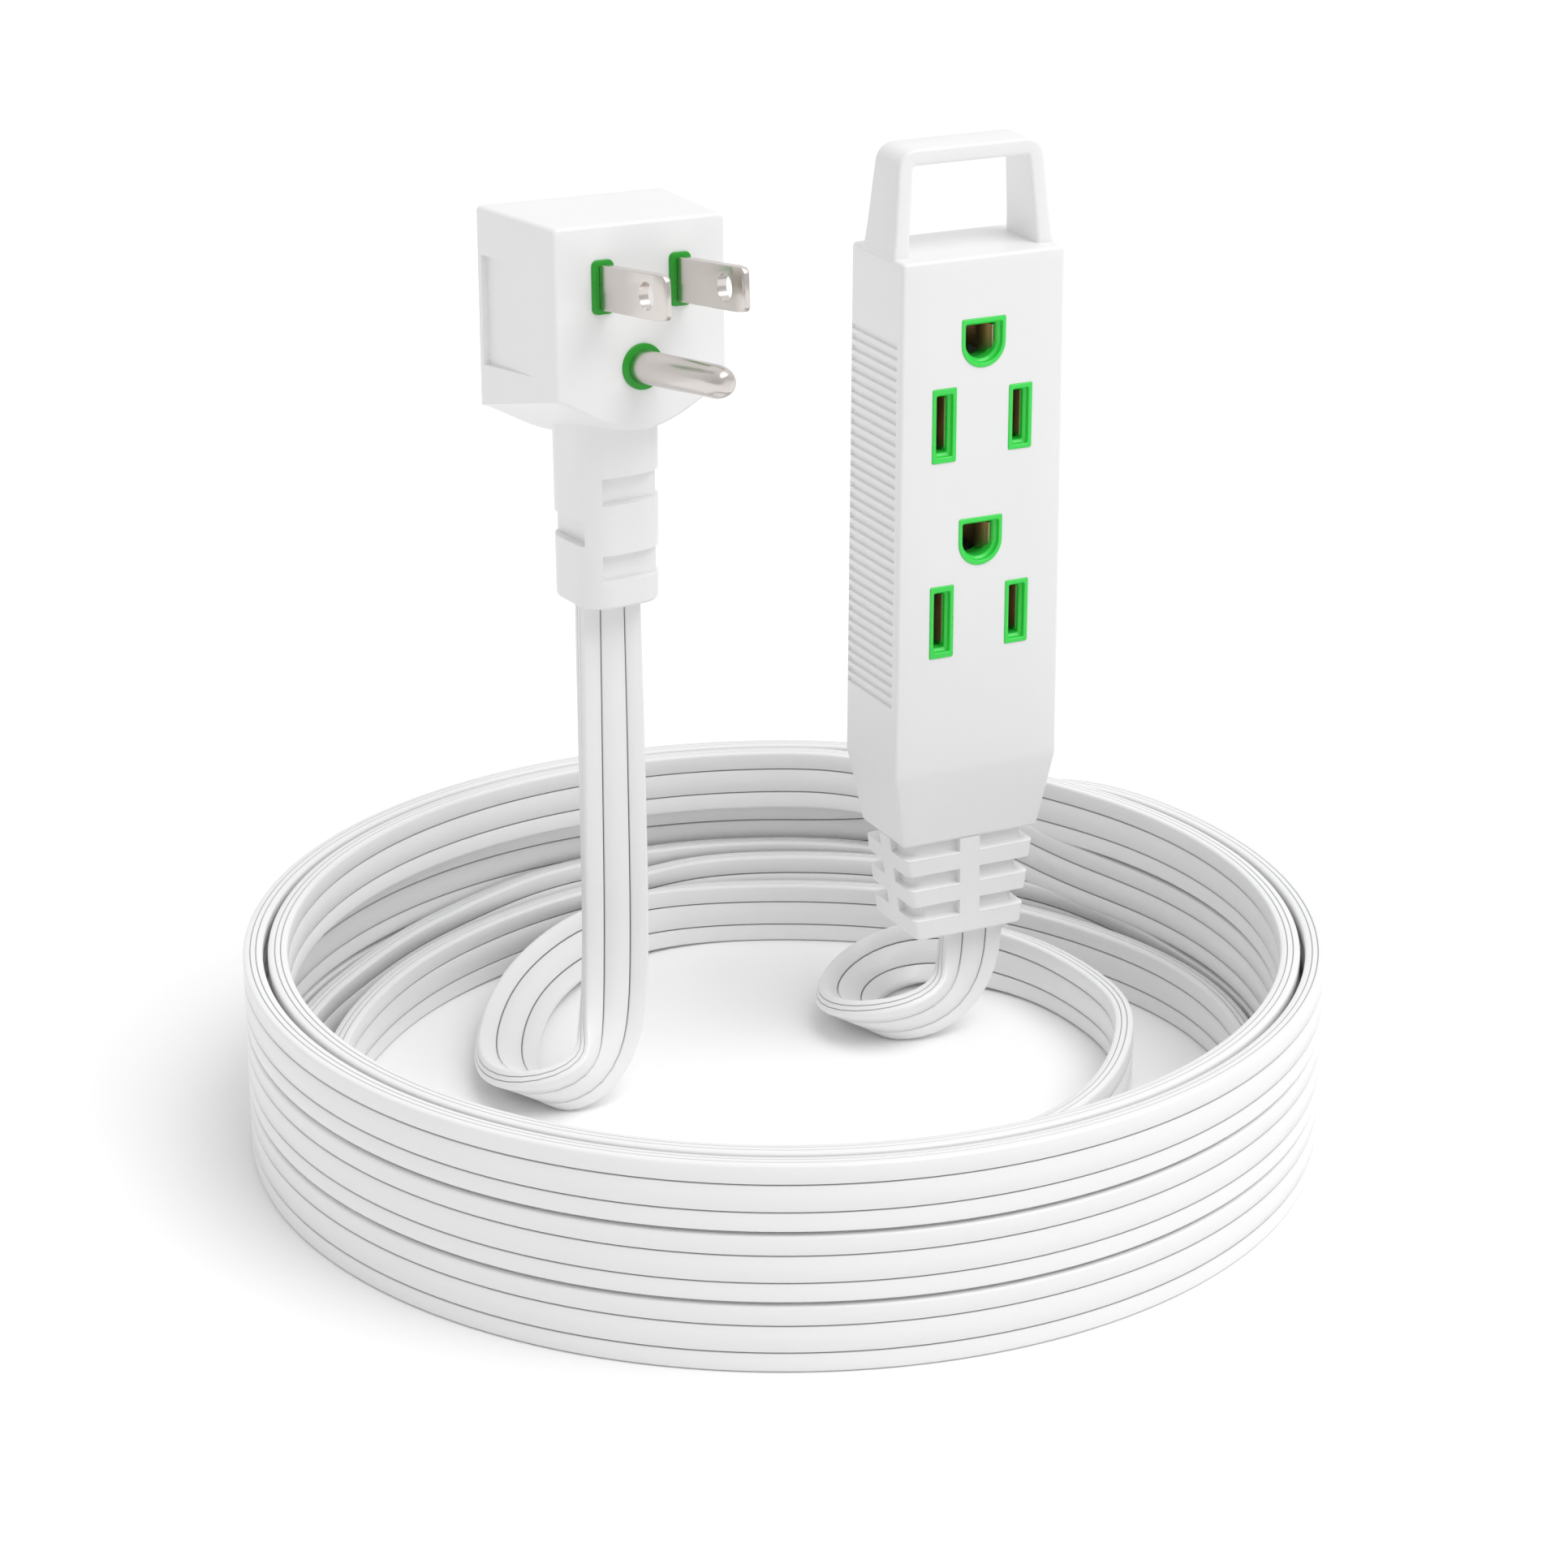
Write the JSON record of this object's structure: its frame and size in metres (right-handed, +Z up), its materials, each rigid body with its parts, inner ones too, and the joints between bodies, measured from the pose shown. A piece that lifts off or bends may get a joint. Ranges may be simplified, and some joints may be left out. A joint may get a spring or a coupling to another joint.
{
  "type": "extension cord",
  "caption": "Flat-cord indoor extension lead: a slim upright outlet block with a hanging loop, a right-angle grounded plug, and a coil of ribbon cord.",
  "frame": {"origin": "underside of the hanging loop's crossbar, at its middle: the point a hook touches", "axes": "+X across the outlet block, to the right as its outlets are faced; +Y from the outlet face to the block's back; +Z up along the block"},
  "size_m": [0.1594, 0.1594, 0.1414],
  "materials": {
    "housing_white": "satin",
    "insert_green": "satin",
    "contact_brass": "satin",
    "neutral_insulation": "matte",
    "line_insulation": "matte",
    "ground_insulation": "matte",
    "screw_steel": "satin",
    "blade_nickel": "polished",
    "cord_white": "satin"
  },
  "bodies": {
    "root": {"front_cover": "housing_white", "rear_cover": "housing_white", "hang_handle": "housing_white", "cord_clamp": "housing_white", "block_strain_relief": "housing_white", "plug_body": "housing_white", "plug_strain_relief": "housing_white", "contact_carrier": "insert_green", "blade_bridge": "insert_green", "neutral_bus_bar": "contact_brass", "line_bus_bar": "contact_brass", "ground_bus_bar": "contact_brass", "neutral_crimp": "contact_brass", "line_crimp": "contact_brass", "ground_crimp": "contact_brass", "plug_neutral_crimp": "contact_brass", "plug_line_crimp": "contact_brass", "plug_ground_crimp": "contact_brass", "neutral_lead": "neutral_insulation", "line_lead": "line_insulation", "ground_lead": "ground_insulation", "clamp_screw_1": "screw_steel", "clamp_screw_2": "screw_steel", "cover_screw_1": "screw_steel", "cover_screw_2": "screw_steel", "cover_screw_3": "screw_steel", "cover_screw_4": "screw_steel", "neutral_blade": "blade_nickel", "line_blade": "blade_nickel", "ground_pin": "blade_nickel", "cord_plug_run": "cord_white", "cord_coil": "cord_white", "cord_socket_run": "cord_white"}
  },
  "joints": []
}
